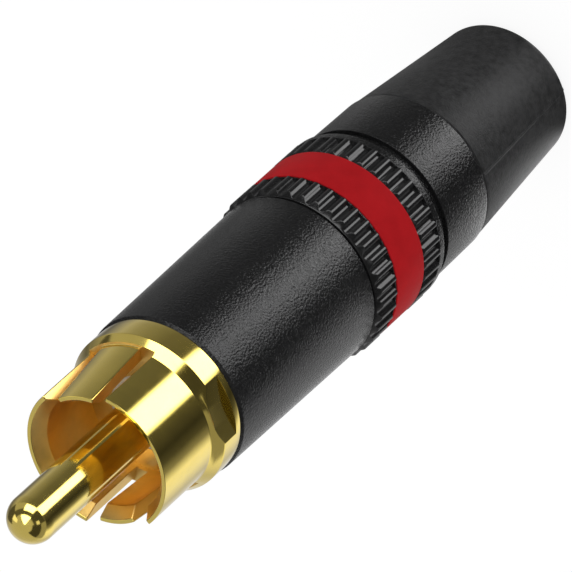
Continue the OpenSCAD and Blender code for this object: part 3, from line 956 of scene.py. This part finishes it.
class PLUG_OT_stage(bpy.types.Operator):
    """White floor, even surround, reflected screens and the camera"""
    bl_idname = "phono_plug.stage"
    bl_label = "Stage"

    def execute(self, context):
        st = context.scene.phono_plug.stage
        self.surround(context.scene, st)
        self.floor(st)
        self.screens(st)
        self.camera(context.scene, st)
        context.scene.view_settings.view_transform = "Standard"
        return {"FINISHED"}

    def surround(self, scene, st):
        """White to the eye and in gloss, and an even light for the rest."""
        world = bpy.data.worlds.new("surround")
        scene.world = world
        world.use_nodes = True
        tree = world.node_tree
        back = tree.nodes["Background"]
        back.inputs["Color"].default_value = (1.0, 1.0, 1.0, 1.0)
        node = tree.nodes.new("ShaderNodeMapRange")
        node.inputs["To Min"].default_value = st.world
        node.inputs["To Max"].default_value = 1.0
        tree.links.new(seen_directly(tree), node.inputs["Value"])
        tree.links.new(node.outputs["Result"], back.inputs["Strength"])

    def floor(self, st):
        """A wide square, part of whose white is its own and part lit, so it keeps the shadow."""
        mesh = bpy.data.meshes.new("floor")
        signs = ((-1, -1), (1, -1), (1, 1), (-1, 1))
        square = [(x * FLOOR_REACH, y * FLOOR_REACH, 0.0) for x, y in signs]
        mesh.from_pydata(square, [], [(0, 1, 2, 3)])
        material = bpy.data.materials.new("floor_paper")
        material.use_nodes = True
        tree = material.node_tree
        tree.nodes.remove(tree.nodes["Principled BSDF"])
        paper = tree.nodes.new("ShaderNodeBsdfDiffuse")
        share = st.floor_share
        paper.inputs["Color"].default_value = (share, share, share, 1.0)
        white = tree.nodes.new("ShaderNodeEmission")
        node = tree.nodes.new("ShaderNodeMapRange")
        node.inputs["To Min"].default_value = FLOOR_GLOW
        node.inputs["To Max"].default_value = 1.0 - share * FLOOR_LIT
        tree.links.new(seen_directly(tree), node.inputs["Value"])
        tree.links.new(node.outputs["Result"], white.inputs["Strength"])
        both = tree.nodes.new("ShaderNodeAddShader")
        tree.links.new(paper.outputs["BSDF"], both.inputs[0])
        tree.links.new(white.outputs["Emission"], both.inputs[1])
        tree.links.new(both.outputs["Shader"], tree.nodes["Material Output"].inputs["Surface"])
        mesh.materials.append(material)
        floor = bpy.data.objects.new("floor", mesh)
        bpy.context.scene.collection.objects.link(floor)

    def screens(self, st):
        """A disc on the floor and a dome over it, lit as the tent's formulas say.

        A point of the disc is at (r cos t, r sin t, height) and one of the dome at
        (R cos e cos t, R cos e sin t, R sin e), with t counted from the camera's side.
        The disc is dim round the plug's foot as a painted shadow of the plug, with a paler
        cloth to the right of it.
        """
        material = glow()
        # One column and one row for each degree
        az = np.linspace(-180.0, 180.0, 361)
        turn = st.turn - np.radians(az)
        radius, share, cloth = (np.array(column)[:, None] for column in zip(*FOOT_RINGS))
        height = SCREEN_HEIGHT + 0 * radius * turn
        disc = np.stack([radius * np.cos(turn), radius * np.sin(turn), height], axis=-1)
        pale = cloth * span(az, *FOOT_CLOTH, FOOT_SOFT)
        # The floor's light times its share paints the plug's shadow round its foot
        screen("floor_screen", disc, floor_light(az, st.strip) * share + pale, material)
        el = np.linspace(0.0, 90.0, 91)[:, None]
        e = np.radians(el) + 0 * turn
        dome = np.stack([np.cos(e) * np.cos(turn), np.cos(e) * np.sin(turn), np.sin(e)], axis=-1)
        light = tent_light(az + 0 * el, el + 0 * az, st.strip)
        screen("dome_screen", SCREEN_REACH * dome, light, material)

    def camera(self, scene, st):
        """A long lens at the set turn, rise and distance from its aim, rolled about its view."""
        aim = Vector((0.0, 0.0, st.aim))
        level = math.cos(st.rise)
        back = Vector((level * math.cos(st.turn), level * math.sin(st.turn), math.sin(st.rise)))
        data = bpy.data.cameras.new("camera")
        data.sensor_width = SENSOR_WIDTH
        data.lens = st.lens
        data.shift_x, data.shift_y = st.shift_x, st.shift_y
        data.clip_start, data.clip_end = CLIP_START, CLIP_END
        camera = bpy.data.objects.new("camera", data)
        camera.location = aim + back * st.distance
        camera.rotation_mode = "QUATERNION"
        roll = Quaternion((0.0, 0.0, 1.0), st.roll)
        camera.rotation_quaternion = (-back).to_track_quat("-Z", "Y") @ roll
        scene.collection.objects.link(camera)
        scene.camera = camera


OPERATORS = (
    PLUG_OT_contact_body, PLUG_OT_centre_pin, PLUG_OT_insulator, PLUG_OT_inner_parts, PLUG_OT_barrel,
    PLUG_OT_coding_ring, PLUG_OT_rear_bushing, PLUG_OT_boot, PLUG_OT_stage)


class PLUG_PT_panel(bpy.types.Panel):
    """Lists the plug's pieces in the sidebar"""
    bl_idname = "PLUG_PT_panel"
    bl_label = "Phono plug"
    bl_space_type = "VIEW_3D"
    bl_region_type = "UI"
    bl_category = "Plug"

    def draw(self, context):
        for operator in OPERATORS:
            self.layout.operator(operator.bl_idname)


CLASSES = (
    PlugContactSizes, PlugPinSizes, PlugShellSizes, PlugBootSizes, PlugFinishes, PlugStage,
    PlugSettings, *OPERATORS, PLUG_PT_panel)


def register():
    """Registers the classes and the settings."""
    for cls in CLASSES:
        bpy.utils.register_class(cls)
    bpy.types.Scene.phono_plug = PointerProperty(type=PlugSettings)


def unregister():
    """Removes the settings and the classes."""
    del bpy.types.Scene.phono_plug
    for cls in reversed(CLASSES):
        bpy.utils.unregister_class(cls)


def main():
    """Builds every piece and the stage."""
    register()
    bpy.ops.phono_plug.contact_body()
    bpy.ops.phono_plug.centre_pin()
    bpy.ops.phono_plug.insulator()
    bpy.ops.phono_plug.inner_parts()
    bpy.ops.phono_plug.barrel()
    bpy.ops.phono_plug.coding_ring()
    bpy.ops.phono_plug.rear_bushing()
    bpy.ops.phono_plug.boot()
    bpy.ops.phono_plug.stage()


if __name__ == "__main__":
    main()
